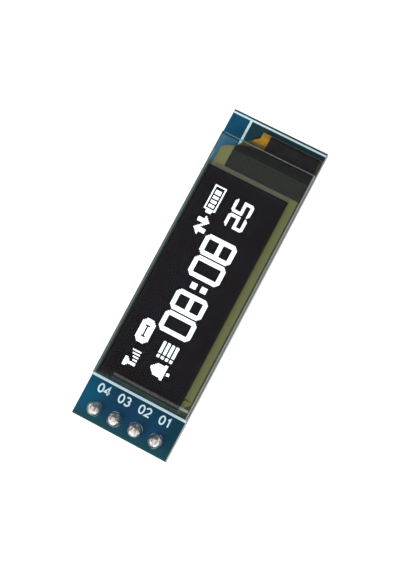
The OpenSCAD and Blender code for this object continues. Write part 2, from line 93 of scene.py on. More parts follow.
class Paint:
    """A node material under construction, with short ways to add what most surfaces here need."""

    def __init__(self, name):
        self.material = bpy.data.materials.new(name)
        self.material.use_nodes = True
        self.tree = self.material.node_tree
        self.tree.nodes.clear()
        self.output = self.node("OutputMaterial")
        self.position = self.node("TexCoord").outputs["Object"]

    def node(self, kind, **settings):
        made = self.tree.nodes.new("ShaderNode" + kind)
        for key, value in settings.items():
            setattr(made, key, value)
        return made

    def link(self, source, target):
        self.tree.links.new(source, target)

    def put(self, socket, value):
        """Links a socket to another, or sets its value."""
        if isinstance(value, bpy.types.NodeSocket):
            self.link(value, socket)
        else:
            socket.default_value = value

    def placed(self, scale, turn=(0, 0, 0)):
        """Object coordinates, turned and stretched: scale is in cycles for each metre."""
        mapping = self.node("Mapping")
        self.link(self.position, mapping.inputs["Vector"])
        mapping.inputs["Scale"].default_value = scale if hasattr(scale, "__len__") else (scale,) * 3
        mapping.inputs["Rotation"].default_value = turn
        return mapping.outputs["Vector"]

    def noise(self, size, detail=4.0, stretch=(1, 1, 1)):
        """Noise from 0 to 1, whose lumps are about size across."""
        made = self.node("TexNoise")
        made.inputs["Scale"].default_value = 1.0
        made.inputs["Detail"].default_value = detail
        made.inputs["Roughness"].default_value = 0.55
        self.link(self.placed([s / size for s in stretch]), made.inputs["Vector"])
        return made.outputs["Fac"]

    def stripes(self, pitch, turn=0.0, distortion=0.0):
        """Stripes across X, turned about Z, pitch apart."""
        made = self.node("TexWave", wave_type="BANDS", bands_direction="X", wave_profile="SIN")
        made.inputs["Scale"].default_value = 1.0
        made.inputs["Distortion"].default_value = distortion
        made.inputs["Detail"].default_value = 1.0
        wave_cycle = math.tau / 20  # the wave node repeats each pi / 10 units at scale 1
        self.link(self.placed(wave_cycle / pitch, turn=(0, 0, turn)), made.inputs["Vector"])
        return made.outputs["Fac"]

    def ramp(self, value, stops):
        made = self.node("ValToRGB")
        elements = made.color_ramp.elements
        while len(elements) < len(stops):
            elements.new(0.5)
        for element, (place, colour) in zip(elements, stops):
            element.position = place
            element.color = (*colour, 1) if hasattr(colour, "__len__") else (colour,) * 3 + (1,)
        self.link(value, made.inputs["Fac"])
        return made.outputs["Color"]

    def mix(self, factor, a, b):
        """Colour a where factor is 0, b where it is 1."""
        made = self.node("Mix", data_type="RGBA")
        self.put(made.inputs[0], factor)
        for socket, value in ((made.inputs[6], a), (made.inputs[7], b)):
            self.put(socket, value if isinstance(value, bpy.types.NodeSocket) else (*value, 1))
        return made.outputs[2]

    def maths(self, operation, a, b=0.5):
        made = self.node("Math", operation=operation)
        self.put(made.inputs[0], a)
        self.put(made.inputs[1], b)
        return made.outputs[0]

    def spread(self, value, low, high):
        """Maps a value from 0..1 to low..high."""
        made = self.node("MapRange")
        self.link(value, made.inputs["Value"])
        made.inputs["To Min"].default_value = low
        made.inputs["To Max"].default_value = high
        return made.outputs["Result"]

    def axis(self, name):
        """One object coordinate, in metres."""
        split = self.node("SeparateXYZ")
        self.link(self.position, split.inputs[0])
        return split.outputs[name]

    def facing(self, name):
        """How far the surface faces along an axis, without sign, from 0 to 1."""
        split = self.node("SeparateXYZ")
        self.link(self.node("NewGeometry").outputs["Normal"], split.inputs[0])
        return self.maths("ABSOLUTE", split.outputs[name])

    def between(self, value, low, high, soft):
        """1 where value lies between low and high, falling to 0 over soft outside them."""
        rise = self.fade(value, low - soft, low)
        fall = self.fade(value, high + soft, high)
        return self.maths("MULTIPLY", rise, fall)

    def fade(self, value, zero, one):
        """Rises smoothly from 0 to 1 while value goes from zero to one."""
        made = self.node("MapRange", interpolation_type="SMOOTHSTEP")
        self.link(value, made.inputs["Value"])
        made.inputs["From Min"].default_value = zero
        made.inputs["From Max"].default_value = one
        return made.outputs["Result"]

    def inside(self, low, high, margin, soft):
        """1 over the plan of a box grown by margin, falling to 0 over soft outside it."""
        along = self.between(self.axis("X"), low.x - margin, high.x + margin, soft)
        across = self.between(self.axis("Y"), low.y - margin, high.y + margin, soft)
        return self.maths("MULTIPLY", along, across)

    def bump(self, height, depth, strength=1.0):
        made = self.node("Bump")
        made.inputs["Strength"].default_value = strength
        made.inputs["Distance"].default_value = depth
        self.link(height, made.inputs["Height"])
        return made.outputs["Normal"]

    def principled(self, colour, rough, metal=0.0, normal=None, **constants):
        made = self.node("BsdfPrincipled")
        if not isinstance(colour, bpy.types.NodeSocket):
            colour = (*colour, 1)
        self.put(made.inputs["Base Color"], colour)
        self.put(made.inputs["Roughness"], rough)
        made.inputs["Metallic"].default_value = metal
        for key, value in constants.items():
            made.inputs[key.replace("_", " ")].default_value = value
        if normal is not None:
            self.link(normal, made.inputs["Normal"])
        return made.outputs["BSDF"]

    def see_through(self, colour):
        made = self.node("BsdfTransparent")
        self.put(made.inputs["Color"], (*colour, 1))
        return made.outputs["BSDF"]

    def blend(self, factor, a, b):
        """Shader a where factor is 0, b where it is 1."""
        made = self.node("MixShader")
        self.put(made.inputs[0], factor)
        self.link(a, made.inputs[1])
        self.link(b, made.inputs[2])
        return made.outputs[0]

    def done(self, shader):
        self.link(shader, self.output.inputs["Surface"])
        return self.material


def solder_mask():
    """Blue mask over glass-fibre laminate.

    It is greener towards the board's ends and first side, darker beside the tail, where the tail's shadow
    is painted, and paler where the ledge lies over it. It stops short of the cut edges, where bare laminate
    shows as a pale line. Beside the glass's first side that pale line is widened up to the glass, as a
    painted highlight of the glass's edge.
    """
    p = Paint("solder_mask")
    x, y = p.axis("X"), p.axis("Y")
    weave = p.noise(0.16 * MM, detail=2)
    cloud = p.noise(2.6 * MM, detail=3)
    blue = p.ramp(cloud, [(0.3, (0.003, 0.04, 0.088)), (0.7, (0.005, 0.046, 0.102))])
    teal = (0.002, 0.077, 0.144)
    second_side = (0.003, 0.037, 0.062)
    header_end = (0.009, 0.058, 0.074)
    far_end = (0.003, 0.07, 0.136)
    tail_shade = (0.009, 0.036, 0.04)
    threads = (0.0, 0.02, 0.05)
    blue = p.mix(p.fade(y, 2.2 * MM, 5.2 * MM), blue, teal)
    blue = p.mix(p.fade(y, -3 * MM, -5.6 * MM), blue, second_side)
    blue = p.mix(p.fade(x, 0.2 * MM, -1.4 * MM), blue, header_end)
    blue = p.mix(p.fade(x, 28 * MM, 32 * MM), blue, far_end)
    # painted shadow of the flex tail: the mask darkens across the tail's width towards the far end
    shade = p.between(y, FLEX_LOW.y, COVER_HIGH.y, 0.4 * MM)
    blue = p.mix(p.maths("MULTIPLY", shade, p.fade(x, 33 * MM, 36 * MM)), blue, tail_shade)
    blue = p.mix(p.spread(weave, 0.0, 0.25), blue, threads)
    under_ledge = p.maths("MULTIPLY", p.fade(x, CAP_HIGH.x, CAP_HIGH.x + 0.1 * MM),
                          p.fade(x, GLASS_HIGH.x + 0.04 * MM, GLASS_HIGH.x - 0.04 * MM))
    hazy = (0.05, 0.155, 0.265)
    blue = p.mix(p.maths("MULTIPLY", under_ledge, p.fade(y, COATING_HIGH.y, COATING_HIGH.y + 0.3 * MM)),
                 blue, hazy)
    # painted highlight of the glass's edge: beside the glass's first side the mask is left off, so the pale
    # colour shows
    beside = p.maths("MULTIPLY", p.fade(y, GLASS_HIGH.y - 0.02 * MM, GLASS_HIGH.y + 0.02 * MM),
                     p.between(x, GLASS_LOW.x, GLASS_HIGH.x - 2 * MM, 0.1 * MM))
    masked = p.maths("MULTIPLY", p.inside(BOARD_LOW, BOARD_HIGH, -0.07 * MM, 0.04 * MM),
                     p.maths("SUBTRACT", 1.0, beside))
    # bare laminate at the cut edges, and also the painted glass-edge highlight beside the glass
    bare = (0.27, 0.34, 0.32)
    blue = p.mix(masked, bare, blue)
    fibres = p.noise(0.3 * MM, detail=3, stretch=(0.25, 0.25, 3))
    laminate = p.ramp(fibres, [(0.3, (0.045, 0.075, 0.05)), (0.7, (0.16, 0.17, 0.09))])
    skin = p.maths("GREATER_THAN", p.facing("Z"), 0.5)
    rough = p.spread(p.noise(0.5 * MM), 0.22, 0.36)
    return p.done(p.principled(p.mix(skin, laminate, blue), rough, normal=p.bump(weave, 0.004 * MM, 0.6),
                               Specular_IOR_Level=0.1))


def print_white():
    """Screen-printed ink, white with a little of the blue showing through where it is thin."""
    p = Paint("print_white")
    grain = p.noise(0.09 * MM, detail=3)
    colour = p.ramp(grain, [(0.25, (0.42, 0.6, 0.66)), (0.5, (0.6, 0.78, 0.83))])
    return p.done(p.principled(colour, 0.55, normal=p.bump(grain, 0.004 * MM), Specular_IOR_Level=0.2))


def solder_metal():
    """Bright solder with the lumps and dull patches of a hand-soldered joint."""
    p = Paint("solder_metal")
    lumps = p.noise(0.45 * MM, detail=3)
    dull = p.noise(0.5 * MM, detail=5)
    colour = p.ramp(dull, [(0.3, (0.3, 0.29, 0.27)), (0.5, (0.7, 0.7, 0.68)), (0.7, (0.86, 0.86, 0.85))])
    return p.done(p.principled(colour, p.spread(dull, 0.4, 0.2), 1.0, p.bump(lumps, 0.09 * MM, 0.8)))


def tin():
    """Matt tin plating on the leads and ends of the small parts."""
    p = Paint("tin")
    grain = p.noise(0.08 * MM, detail=4)
    colour = p.ramp(grain, [(0.3, (0.5, 0.5, 0.5)), (0.7, (0.74, 0.74, 0.73))])
    return p.done(p.principled(colour, p.spread(grain, 0.42, 0.28), 1.0, p.bump(grain, 0.006 * MM)))


def pin_gold():
    """Thin gold over brass, with drawing lines along the pin and a bare, pinkish cut tip."""
    p = Paint("pin_gold")
    lines = p.noise(0.07 * MM, detail=3, stretch=(1, 1, 0.05))
    gold = p.ramp(lines, [(0.3, (0.64, 0.44, 0.16)), (0.7, (0.85, 0.65, 0.3))])
    cut = p.ramp(p.noise(0.12 * MM), [(0.35, (0.45, 0.34, 0.31)), (0.65, (0.8, 0.66, 0.6))])
    tinned = p.ramp(p.noise(0.2 * MM), [(0.35, (0.4, 0.34, 0.3)), (0.65, (0.78, 0.72, 0.68))])
    gold = p.mix(p.fade(p.axis("Z"), BOARD_HIGH.z, BOARD_HIGH.z + 0.3 * MM), gold, tinned)
    tip = p.maths("GREATER_THAN", p.facing("Z"), 0.85)
    colour = p.mix(tip, gold, cut)
    return p.done(p.principled(colour, p.spread(lines, 0.22, 0.38), 1.0, p.bump(lines, 0.004 * MM)))


def contact_gold():
    """Gold plating on the tail's contacts."""
    p = Paint("contact_gold")
    grain = p.noise(0.05 * MM)
    colour = p.ramp(grain, [(0.3, (0.68, 0.47, 0.16)), (0.7, (0.86, 0.66, 0.3))])
    return p.done(p.principled(colour, 0.3, 1.0, p.bump(grain, 0.003 * MM)))


def moulded_black(name, shade, coarse):
    """Black moulded plastic with a fine matt grain."""
    p = Paint(name)
    grain = p.noise(coarse, detail=4)
    soft = p.noise(1.5 * MM)
    colour = p.ramp(soft, [(0.3, [0.8 * c for c in shade]), (0.7, [1.3 * c for c in shade])])
    return p.done(p.principled(colour, p.spread(grain, 0.42, 0.62), normal=p.bump(grain, 0.012 * MM),
                               Specular_IOR_Level=0.3))


def sheet_glass(name, tint, edge_colour, low, high, edge_highlight_width, gloss):
    """Clear sheet glass that lets light straight through.

    Its scribed edges are rough and greenish. Along its two sides a band of that edge colour, of the given
    width, is painted over its faces as a highlight of the edges. gloss adds its faces' own reflection, if
    there is one.
    """
    p = Paint(name)
    face = p.see_through(tint)
    if gloss is not None:
        mirror = p.node("BsdfGlossy")
        mirror.inputs["Roughness"].default_value = 0.04
        face = p.blend(gloss(p), face, mirror.outputs[0])
    chips = p.noise(0.12 * MM, detail=4, stretch=(1, 1, 2.5))
    edge = p.ramp(chips, [(0.3, [0.5 * c for c in edge_colour]), (0.7, edge_colour)])
    # rough ground edges; the same colour is painted along the two sides of the faces as a highlight of the
    # edges
    ground = p.principled(edge, 0.4, normal=p.bump(chips, 0.02 * MM), Specular_IOR_Level=0.2)
    # painted edge highlight: a band of the faces along each side takes the edge colour
    clear = p.between(p.axis("Y"), low.y + edge_highlight_width, high.y - edge_highlight_width, 0.02 * MM)
    clear = p.maths("MULTIPLY", clear, p.maths("GREATER_THAN", p.facing("Z"), TOP_FACING))
    return p.done(p.blend(clear, ground, face))


def bare_glass_gloss(p):
    """The front glass's faint reflection, which the polariser stops where it covers the glass."""
    fresnel = p.node("Fresnel")
    fresnel.inputs["IOR"].default_value = 1.13
    covered = p.inside(POLARISER_LOW, POLARISER_HIGH, 0.0, 0.01 * MM)
    return p.maths("MULTIPLY", fresnel.outputs[0], p.maths("SUBTRACT", 1.0, covered))


def polariser_film():
    """The polariser is a smooth dark film. Its two faces together let about two fifths through."""
    p = Paint("polariser_film")
    fresnel = p.node("Fresnel")
    fresnel.inputs["IOR"].default_value = 1.11
    cloud = p.noise(4 * MM, detail=3)
    through = p.node("BsdfTransparent")
    tint = p.ramp(cloud, [(0.3, (0.64, 0.635, 0.645)), (0.7, (0.66, 0.64, 0.65))])
    p.link(tint, through.inputs["Color"])
    mirror = p.node("BsdfGlossy")
    mirror.inputs["Roughness"].default_value = 0.08
    face = p.blend(fresnel.outputs[0], through.outputs[0], mirror.outputs[0])
    rim = p.principled((0.02, 0.018, 0.02), 0.4)
    return p.done(p.blend(p.maths("GREATER_THAN", p.facing("Z"), TOP_FACING), rim, face))


def display_black():
    """The dark films behind the pixels, with the faint grid of their rows and columns."""
    p = Paint("display_black")
    columns = p.stripes(PIXEL_PITCH)
    rows = p.stripes(PIXEL_PITCH, turn=math.pi / 2)
    grid = p.maths("MULTIPLY", columns, rows)
    cloud = p.noise(3.5 * MM, detail=3)
    reddish, violet, bluish = (0.105, 0.075, 0.085), (0.1, 0.084, 0.105), (0.095, 0.095, 0.13)
    tone = p.ramp(cloud, [(0.3, reddish), (0.5, violet), (0.7, bluish)])
    gap, rim = (0.06, 0.055, 0.06), (0.04, 0.045, 0.04)
    colour = p.mix(p.spread(grid, 0.3, 0.0), tone, gap)
    inside = p.inside(FILM_LOW, FILM_HIGH, -0.2 * MM, 0.05 * MM)
    return p.done(p.principled(p.mix(inside, rim, colour), 0.6, Specular_IOR_Level=0.0))


def lit_pixel():
    """A lit pixel is cool white, a little uneven, and bright enough to shine through the polariser."""
    p = Paint("lit_pixel")
    uneven = p.noise(0.4 * MM, detail=2)
    glow = p.node("Emission")
    p.link(p.ramp(uneven, [(0.3, (0.84, 0.95, 1.0)), (0.7, (0.9, 0.98, 1.0))]), glow.inputs["Color"])
    glow.inputs["Strength"].default_value = 4.6
    return p.done(glow.outputs[0])


def metal_tracks(name, dark, light, pitch, turn):
    """Metal film on glass, split into fine lines with a cross texture. It is silver at the header end."""
    p = Paint(name)
    lines = p.stripes(pitch, turn)
    across = p.stripes(1.7 * pitch, turn + math.radians(62))
    patches = p.noise(0.9 * MM, detail=4)
    woven = p.maths("MULTIPLY", lines, p.spread(across, 0.4, 1.0))
    colour = p.mix(p.spread(patches, 0.1, 0.6), p.mix(woven, dark, light), [0.8 * c for c in light])
    silver = p.ramp(patches, [(0.3, (0.36, 0.37, 0.33)), (0.7, (0.5, 0.5, 0.44))])
    line_end = POLARISER_LOW.x + 0.56 * MM
    near_line = p.fade(p.axis("X"), line_end + 0.02 * MM, line_end)
    colour = p.mix(near_line, colour, silver)
    return p.done(p.principled(colour, p.spread(patches, 0.4, 0.55), normal=p.bump(lines, 0.003 * MM),
                               Specular_IOR_Level=0.2))


def coating_black(name):
    """Black coating seen through the ledge, with the faint slanted lines of the tracks over it."""
    p = Paint(name)
    lines = p.stripes(0.55 * MM, turn=math.radians(35.5), distortion=1.5)
    lumps = p.noise(0.8 * MM, detail=4)
    grain = p.noise(0.12 * MM, detail=3)
    colour = p.mix(p.maths("MULTIPLY", lines, lumps), (0.02, 0.0205, 0.0175), (0.05, 0.05, 0.038))
    colour = p.mix(p.spread(grain, 0.0, 0.4), colour, (0.012, 0.013, 0.012))
    return p.done(p.principled(colour, p.spread(lumps, 0.35, 0.5), normal=p.bump(lumps, 0.02 * MM),
                               Specular_IOR_Level=0.15))


def polyimide():
    """Amber film over copper lines: brown with painted shade where it leaves the glass, dark along the
    second side.
    """
    p = Paint("polyimide")
    lines = p.stripes(CONTACT_PITCH, turn=math.pi / 2)
    cloud = p.noise(0.5 * MM, detail=4)
    amber = p.ramp(cloud, [(0.3, (0.23, 0.115, 0.005)), (0.7, (0.42, 0.22, 0.018))])
    brown = p.ramp(cloud, [(0.3, (0.055, 0.042, 0.008)), (0.7, (0.125, 0.1, 0.025))])
    x, y = p.axis("X"), p.axis("Y")
    # painted shade on the flex just outside the glass's edge, in brown
    flex_painted_shade = p.fade(x, GLASS_HIGH.x + 0.75 * MM, GLASS_HIGH.x + 0.35 * MM)
    shoulder = p.maths("MULTIPLY", p.fade(y, COVER_HIGH.y - 0.6 * MM, COVER_HIGH.y - 0.1 * MM),
                       p.fade(x, FLEX_HIGH.x - 0.5 * MM, FLEX_HIGH.x - 1.0 * MM))
    dark, between_lines = (0.022, 0.018, 0.008), (0.1, 0.05, 0.004)
    colour = p.mix(flex_painted_shade, amber, brown)
    colour = p.mix(shoulder, colour, brown)
    colour = p.mix(p.fade(y, COVER_LOW.y + 0.5 * MM, COVER_LOW.y + 0.1 * MM), colour, dark)
    colour = p.mix(p.maths("MULTIPLY", lines, 0.2), colour, between_lines)
    return p.done(p.principled(colour, p.spread(cloud, 0.25, 0.4), normal=p.bump(lines, 0.01 * MM, 0.6),
                               Specular_IOR_Level=0.2))


def cover_film():
    """Black cover film, slightly purple, pressed onto the copper lines beneath."""
    p = Paint("cover_film")
    cloud = p.noise(1.1 * MM, detail=4)
    lines = p.stripes(CONTACT_PITCH, turn=math.pi / 2)
    colour = p.ramp(cloud, [(0.3, (0.007, 0.0065, 0.0075)), (0.7, (0.013, 0.012, 0.0135))])
    return p.done(p.principled(colour, p.spread(cloud, 0.3, 0.45), normal=p.bump(lines, 0.008 * MM, 0.5),
                               Specular_IOR_Level=0.12))


def seal_resin():
    """Cured resin between the glasses, olive along the second side and grey-green elsewhere."""
    p = Paint("seal_resin")
    grain = p.noise(0.3 * MM, detail=4)
    grey = p.ramp(grain, [(0.3, (0.075, 0.1, 0.105)), (0.7, (0.105, 0.135, 0.14))])
    olive = p.ramp(grain, [(0.3, (0.06, 0.055, 0.03)), (0.7, (0.1, 0.093, 0.055))])
    side = p.fade(p.axis("Y"), GLASS_LOW.y + 1.2 * MM, GLASS_LOW.y + 0.8 * MM)
    return p.done(p.principled(p.mix(side, grey, olive), 0.4, Specular_IOR_Level=0.1))


def grainy(name, dark, light, size, rough, depth=0.01 * MM):
    """A plain material with a grain in its colour and surface."""
    p = Paint(name)
    grain = p.noise(size, detail=4)
    colour = p.ramp(grain, [(0.3, dark), (0.7, light)])
    uneven = p.spread(grain, rough - 0.06, rough + 0.06)
    return p.done(p.principled(colour, uneven, normal=p.bump(grain, depth)))


MASK = solder_mask()
WHITE = print_white()
SOLDER = solder_metal()
TIN = tin()
GOLD = pin_gold()

FINISHES = {
    "board": MASK,
    "plating": TIN,
    "header_plastic": moulded_black("header_black", (0.014, 0.014, 0.015), 0.07 * MM),
    "pin_metal": GOLD,
    "solder": SOLDER,
    "front_glass": sheet_glass("front_sheet", (0.93, 0.96, 0.95), (0.3, 0.32, 0.29), GLASS_LOW, GLASS_HIGH,
                               0.1 * MM, bare_glass_gloss),
    "cap_glass": sheet_glass("cap_sheet", (0.86, 0.92, 0.9), (0.2, 0.24, 0.22), CAP_LOW, CAP_HIGH,
                             0.05 * MM, None),
    "polariser": polariser_film(),
    "seal": seal_resin(),
    "desiccant": grainy("desiccant_white", (0.6, 0.6, 0.58), (0.8, 0.8, 0.78), 0.1 * MM, 0.8),
    "display_film": display_black(),
    "metal_film": metal_tracks("olive_tracks", (0.17, 0.155, 0.06), (0.31, 0.285, 0.115),
                               0.13 * MM, 0.0),
    "end_film": metal_tracks("beige_tracks", (0.13, 0.12, 0.085), (0.26, 0.235, 0.17),
                             0.12 * MM, math.pi / 2),
    "silicon": coating_black("chip_silicon"),
    "coating": coating_black("coating_black"),
    "tape": grainy("tape_foam", (0.62, 0.62, 0.6), (0.8, 0.8, 0.78), 0.08 * MM, 0.85, 0.03 * MM),
    "flex": polyimide(),
    "flex_cover": cover_film(),
    "gold_contacts": contact_gold(),
    "capacitor_ceramic": grainy("capacitor_tan", (0.27, 0.15, 0.075), (0.4, 0.25, 0.14), 0.1 * MM, 0.45),
    "resistor_coat": grainy("resistor_glaze", (0.012, 0.012, 0.013), (0.03, 0.03, 0.032),
                            0.12 * MM, 0.25),
    "tin": TIN,
    "moulding": moulded_black("chip_mould", (0.02, 0.02, 0.021), 0.05 * MM),
}


def finish_cad_nodes():
    """Gives each CAD node the finish of its material slot."""
    for part in frame["record"]["subparts"]:
        node = NODES[part["node"]]
        node.data.materials.clear()
        node.data.materials.append(FINISHES[part["material_slot"]])


HAIR_GAP = 0.002 * MM


def separate_faces():
    """Draws the clear sheets in by a hair, so that none of their faces shares a plane with another's."""
    for name in ("front_glass", "cap_glass", "polariser"):
        inset = NODES[name].modifiers.new("hair_gap", "DISPLACE")
        inset.mid_level = 0.0
        inset.strength = -HAIR_GAP


def soften_edges():
    """Small rounded edges on the CAD nodes, as the real pieces have, with widths in millimetres."""
    widths = {"circuit_board": 0.04, "header_strip": 0.06, "front_glass": 0.035, "polariser": 0.02,
              "cap_glass": 0.03, "chip_coating": 0.06, "regulator_body": 0.03, "regulator_leads": 0.02,
              "desiccant_sheet": 0.03, "panel_tape": 0.02}
    widths.update({f"header_pin_{n}": 0.025 for n in range(1, PIN_COUNT + 1)})
    for name, width in widths.items():
        bevel = NODES[name].modifiers.new("edges", "BEVEL")
        bevel.width = width * MM
        bevel.segments = 2
        bevel.limit_method = "ANGLE"
        bevel.angle_limit = math.radians(40)
        bevel.harden_normals = False


# ---------------------------------------------------------------- mesh helpers

def add_piece(name, mesh, material, smooth=False, replaced=()):
    """Links a finished mesh as a piece of the object that rides on its one body."""
    mesh.materials.append(material)
    if smooth:
        mesh.shade_smooth()
    piece = bpy.data.objects.new(name, mesh)
    bpy.context.scene.collection.objects.link(piece)
    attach(piece, "root")
    if replaced:
        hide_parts(*replaced)


def add_prism(bm, outline, low, high):
    """Adds a closed prism over an anticlockwise outline of (x, y) points, from low to high."""
    bottom = [bm.verts.new((x, y, low)) for x, y in outline]
    top = [bm.verts.new((x, y, high)) for x, y in outline]
    bm.faces.new(bottom[::-1])
    bm.faces.new(top)
    for i in range(len(outline)):
        j = (i + 1) % len(outline)
        bm.faces.new((bottom[i], bottom[j], top[j], top[i]))


def box_outline(x0, y0, x1, y1):
    return [(x0, y0), (x1, y0), (x1, y1), (x0, y1)]


SHARPEST_MITRE = 0.45


def ribbon_sides(points, width):
    """The left and right edges of a line of that width, mitred at its corners."""
    left, right = [], []
    steps = [(Vector(b) - Vector(a)).normalized() for a, b in zip(points, points[1:])]
    for point, into, out in zip(points, steps[:1] + steps, steps + steps[-1:]):
        along = (into + out).normalized()
        normal = Vector((-along.y, along.x))
        reach = width / 2 / max(SHARPEST_MITRE, normal.dot(Vector((-into.y, into.x))))
        left.append(Vector(point) + normal * reach)
        right.append(Vector(point) - normal * reach)
    return left, right


def add_ribbon(bm, points, width, low, high):
    """Adds a flat strip that follows points, solid from low to high."""
    left, right = ribbon_sides(points, width)
    rows = []
    for a, b in zip(left, right):
        rows.append([bm.verts.new((*a, low)), bm.verts.new((*b, low)),
                     bm.verts.new((*b, high)), bm.verts.new((*a, high))])
    for first, second in zip(rows, rows[1:]):
        for i in range(4):
            j = (i + 1) % 4
            bm.faces.new((first[i], first[j], second[j], second[i]))
    bm.faces.new(rows[0][::-1])
    bm.faces.new(rows[-1])


def finished_mesh(bm, name):
    bmesh.ops.recalc_face_normals(bm, faces=bm.faces)
    mesh = bpy.data.meshes.new(name)
    bm.to_mesh(mesh)
    bm.free()
    return mesh


# ---------------------------------------------------------------- the lit picture

class Raster:
    """The display's grid of pixels, lit by simple shapes. Column 0, row 0 is at the top left."""

    def __init__(self):
        self.lit = set()

    def rect(self, x0, y0, x1, y1, on=True):
        """Lights or clears all pixels from column x0 and row y0 up to, but not including, x1 and y1."""
        cells = {(x, y) for x in range(x0, x1) for y in range(y0, y1)}
        self.lit = self.lit | cells if on else self.lit - cells

    def clear(self, cells):
        self.lit = self.lit - set(cells)

    def cut_corners(self, x0, y0, x1, y1, size=1):
        """Clears a stepped corner of that size at each corner of a rectangle."""
        for i in range(size):
            for j in range(size - i):
                cells = [(x, y) for x in (x0 + i, x1 - 1 - i) for y in (y0 + j, y1 - 1 - j)]
                self.clear(cells)

    def segments(self, digit, x, y, width, height, stroke):
        """A seven-segment digit with solid joints and cut outer corners."""
        middle = y + (height - stroke + 1) // 2
        right, bottom = x + width, y + height
        bars = {"a": (x, y, right, y + stroke),
                "b": (right - stroke, y, right, middle + stroke),
                "c": (right - stroke, middle, right, bottom),
                "d": (x, bottom - stroke, right, bottom),
                "e": (x, middle, x + stroke, bottom),
                "f": (x, y, x + stroke, middle + stroke),
                "g": (x, middle, right, middle + stroke)}
        shown = {"0": "abcdef", "2": "abged", "5": "afgcd", "8": "abcdefg"}[digit]
        for bar in shown:
            self.rect(*bars[bar])
        self.cut_corners(x, y, x + width, y + height, stroke - 1)


def draw_picture():
    picture = Raster()
    # Signal strength: an aerial and four rising bars
    for row, (start, end) in enumerate([(0, 6), (0, 6), (1, 5), (2, 4)]):
        picture.rect(start, 1 + row, end, 2 + row)
    picture.rect(2, 5, 4, 9)
    for i in range(4):
        picture.rect(5 + 2 * i, 6 - i, 6 + 2 * i, 9)
    # Closed envelope with a short slot
    picture.rect(17, 0, 33, 9)
    picture.cut_corners(17, 0, 33, 9, 2)
    picture.rect(21, 4, 29, 5, False)
    picture.clear([(21, 3), (28, 3), (21, 5), (28, 5)])
    # Two arrows: up, then down
    for i in range(4):
        picture.rect(97 - i, i, 98 + i, 1 + i)
        picture.rect(103 - i, 7 - i, 104 + i, 8 - i)
    picture.rect(96, 4, 99, 8)
    picture.rect(102, 0, 105, 4)
    # Battery with four cells
    picture.rect(111, 0, 128, 8)
    picture.rect(112, 1, 127, 7, False)
    for i in range(4):
        picture.rect(113 + 13 * i // 4, 2, 115 + 13 * i // 4 + (i == 3), 6)
    picture.rect(109, 2, 111, 6)
    # The time
    for digit, x in (("0", 30), ("8", 45), ("0", 69), ("8", 84)):
        picture.segments(digit, x, 10, 14, 22, 3)
    picture.rect(62, 16, 66, 20)
    picture.rect(62, 23, 66, 27)
    # A bell and a list, at the left
    for row, (start, end) in enumerate([(6, 8), (5, 9), (4, 10)] + 5 * [(3, 11)] + 2 * [(2, 12)]):
        picture.rect(start, 18 + row, end, 19 + row)
    picture.rect(6, 29, 8, 31)
    for i in range(4):
        picture.rect(14, 18 + 3 * i, 16, 20 + 3 * i)
        picture.rect(17, 18 + 3 * i, 25, 20 + 3 * i)
    # A plain number, at the right
    for digit, x in (("2", 107), ("5", 117)):
        picture.segments(digit, x, 16, 9, 13, 2)
    return picture


def light_pixels():
    """Each lit pixel is a thin plate just in front of the film, under the glass."""
    half = PIXEL_PITCH * PIXEL_FILL / 2
    low = FILM_HIGH.z + PIXEL_LIFT
    bm = bmesh.new()
    for column, row in sorted(draw_picture().lit):
        x = FILM_LOW.x + ACTIVE_INSET + (column + 0.5) * PIXEL_PITCH
        y = FILM_HIGH.y - ACTIVE_TOP - (row + 0.5) * PIXEL_PITCH
        add_prism(bm, box_outline(x - half, y - half, x + half, y + half), low, low + PIXEL_THICK)
    add_piece("lit_pixels", finished_mesh(bm, "lit_pixels"), lit_pixel())


# ---------------------------------------------------------------- print on the board

INK = 0.014 * MM            # thickness of the printed ink
INK_MARGIN = 0.06 * MM      # from the ends of the cross lines to the board's sides
NEAR_LINE_AT = 4.89 * MM    # distance of the line beside the panel from the header end
FAR_LINE_AT = 0.35 * MM     # distance of the far line from the far end
LONG_LINE_AT = 2.34 * MM    # distance of the long line from the first side
NUMBERS_AT = 3.86 * MM      # distance of the pin numbers' middle from the header end
NUMBER_HEIGHT = 0.92 * MM
DIGIT_WIDTH = 0.6           # of a printed digit, for a height of 1
DIGIT_STEP = 0.86           # from one printed digit to the next
DIGIT_STROKE = 0.2
OVERPRINT = 0.002 * MM      # a digit's second stroke stands this much higher than its first


def arc_points(cx, cy, rx, ry, start, end, count):
    """Points of an ellipse's arc, from start to end in degrees."""
    return [(cx + rx * math.cos(math.radians(start + (end - start) * i / count)),
             cy + ry * math.sin(math.radians(start + (end - start) * i / count))) for i in range(count + 1)]


def digit_strokes(digit):
    """The strokes of a digit from 0 to 4, DIGIT_WIDTH wide and 1 high, each a list of points with y up."""
    if digit == "0":
        return [arc_points(0.3, 0.5, 0.3, 0.5, 0, 345, 23) + [(0.6, 0.5)]]
    if digit == "1":
        return [[(0.1, 0.78), (0.33, 1.0), (0.33, 0.0)]]
    if digit == "2":
        return [arc_points(0.3, 0.7, 0.3, 0.3, 165, -40, 12) + [(0.02, 0.0), (0.62, 0.0)]]
    if digit == "3":
        return [arc_points(0.28, 0.74, 0.27, 0.26, 150, -85, 12),
                arc_points(0.28, 0.26, 0.32, 0.27, 85, -150, 12)]
    return [[(0.45, 0.0), (0.45, 1.0), (0.0, 0.28), (0.66, 0.28)]]


def write_number(bm, text, centre, height, low, high):
    """Adds the digits of text, centred on a point, reading towards -Y."""
    step = DIGIT_STEP * height
    start = -(len(text) - 1) / 2 * step - DIGIT_WIDTH / 2 * height
    for i, digit in enumerate(text):
        for level, stroke in enumerate(digit_strokes(digit)):
            points = []
            for u, v in stroke:
                along = start + i * step + u * height
                up = (v - 0.5) * height
                points.append((centre[0] + up, centre[1] - along))
            add_ribbon(bm, points, DIGIT_STROKE * height, low, high + level * OVERPRINT)


